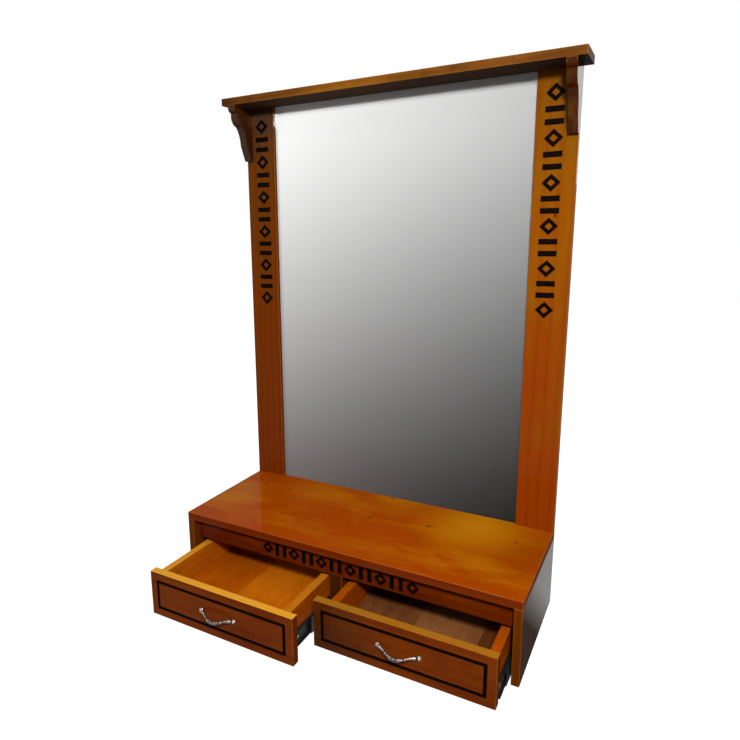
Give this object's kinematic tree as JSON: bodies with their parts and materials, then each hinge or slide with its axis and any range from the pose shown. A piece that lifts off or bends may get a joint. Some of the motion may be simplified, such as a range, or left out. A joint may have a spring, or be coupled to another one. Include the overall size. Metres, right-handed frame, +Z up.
{
  "type": "mirror station",
  "caption": "Wooden barber mirror station: a low counter with side by side drawers on telescopic slides under a tall mirror between posts, capped by a cornice shelf on shaped brackets.",
  "frame": {"origin": "on the floor plane under the centre divider, in the middle of the counter depth and of its width", "axes": "+Z up, +X to the right of someone who faces the mirror, +Y back towards the wall"},
  "size_m": [0.94, 0.5626, 1.313],
  "materials": {
    "backing_board": "plain hardboard",
    "black_inlay": "satin black strip",
    "cornice_wood": "chestnut stain, gloss lacquer",
    "counter_wood": "honey to chestnut stain, gloss lacquer",
    "dowel_wood": "plain beech",
    "drawer_bottom": "stained plywood, satin lacquer",
    "drawer_wood": "honey to chestnut stain, gloss lacquer",
    "handle_metal": "antiqued nickel plate, polished on the high spots",
    "mirror_glass": "silvered float glass, polished",
    "post_wood": "honey to chestnut stain, gloss lacquer",
    "slide_steel": "blackened, drawn",
    "zinc_steel": "zinc plated"
  },
  "bodies": {
    "carcass": {"apron_inlay": "black_inlay", "apron_rail": "counter_wood", "backing_screws": "zinc_steel", "bracket_screws": "zinc_steel", "cabinet_member_screws": "zinc_steel", "carcass_dowels": "dowel_wood", "centre_divider": "counter_wood", "cornice_board": "cornice_wood", "cornice_screws": "zinc_steel", "hanger_screws": "zinc_steel", "hanging_rail": "counter_wood", "keyhole_hangers": "zinc_steel", "left_bracket": "cornice_wood", "left_inner_cabinet_member": "slide_steel", "left_outer_cabinet_member": "slide_steel", "left_post": "post_wood", "left_post_inlay": "black_inlay", "left_side_panel": "counter_wood", "mirror_backing": "backing_board", "mirror_glass": "mirror_glass", "post_dowels": "dowel_wood", "rail_dowels": "dowel_wood", "rear_stretcher": "counter_wood", "right_bracket": "cornice_wood", "right_inner_cabinet_member": "slide_steel", "right_outer_cabinet_member": "slide_steel", "right_post": "post_wood", "right_post_inlay": "black_inlay", "right_side_panel": "counter_wood", "top_board": "counter_wood"},
    "left_intermediate_members": {"left_outer_intermediate_member": "slide_steel", "left_inner_intermediate_member": "slide_steel"},
    "left_drawer": {"left_drawer_back": "drawer_wood", "left_drawer_bottom": "drawer_bottom", "left_drawer_dowels": "dowel_wood", "left_drawer_front": "drawer_wood", "left_drawer_handle": "handle_metal", "left_drawer_handle_screws": "zinc_steel", "left_drawer_inner_side": "drawer_wood", "left_drawer_member_screws": "zinc_steel", "left_drawer_outer_side": "drawer_wood", "left_outer_drawer_member": "slide_steel", "left_inner_drawer_member": "slide_steel"},
    "right_intermediate_members": {"right_outer_intermediate_member": "slide_steel", "right_inner_intermediate_member": "slide_steel"},
    "right_drawer": {"right_drawer_back": "drawer_wood", "right_drawer_bottom": "drawer_bottom", "right_drawer_dowels": "dowel_wood", "right_drawer_front": "drawer_wood", "right_drawer_handle": "handle_metal", "right_drawer_handle_screws": "zinc_steel", "right_drawer_inner_side": "drawer_wood", "right_drawer_member_screws": "zinc_steel", "right_drawer_outer_side": "drawer_wood", "right_outer_drawer_member": "slide_steel", "right_inner_drawer_member": "slide_steel"}
  },
  "joints": [
    {"name": "left_intermediate_slide", "type": "slide", "parent": "carcass", "child": "left_intermediate_members", "axis": [0, -1, 0], "range_m": [-0.088, 0.062]},
    {"name": "left_drawer_slide", "type": "slide", "parent": "carcass", "child": "left_drawer", "axis": [0, -1, 0], "range_m": [-0.176, 0.124]},
    {"name": "right_intermediate_slide", "type": "slide", "parent": "carcass", "child": "right_intermediate_members", "axis": [0, -1, 0], "range_m": [-0.045, 0.105]},
    {"name": "right_drawer_slide", "type": "slide", "parent": "carcass", "child": "right_drawer", "axis": [0, -1, 0], "range_m": [-0.09, 0.21]}
  ],
  "couplings": [
    {"joint": "left_intermediate_slide", "follows": "left_drawer_slide", "ratio": 0.5},
    {"joint": "right_intermediate_slide", "follows": "right_drawer_slide", "ratio": 0.5}
  ]
}
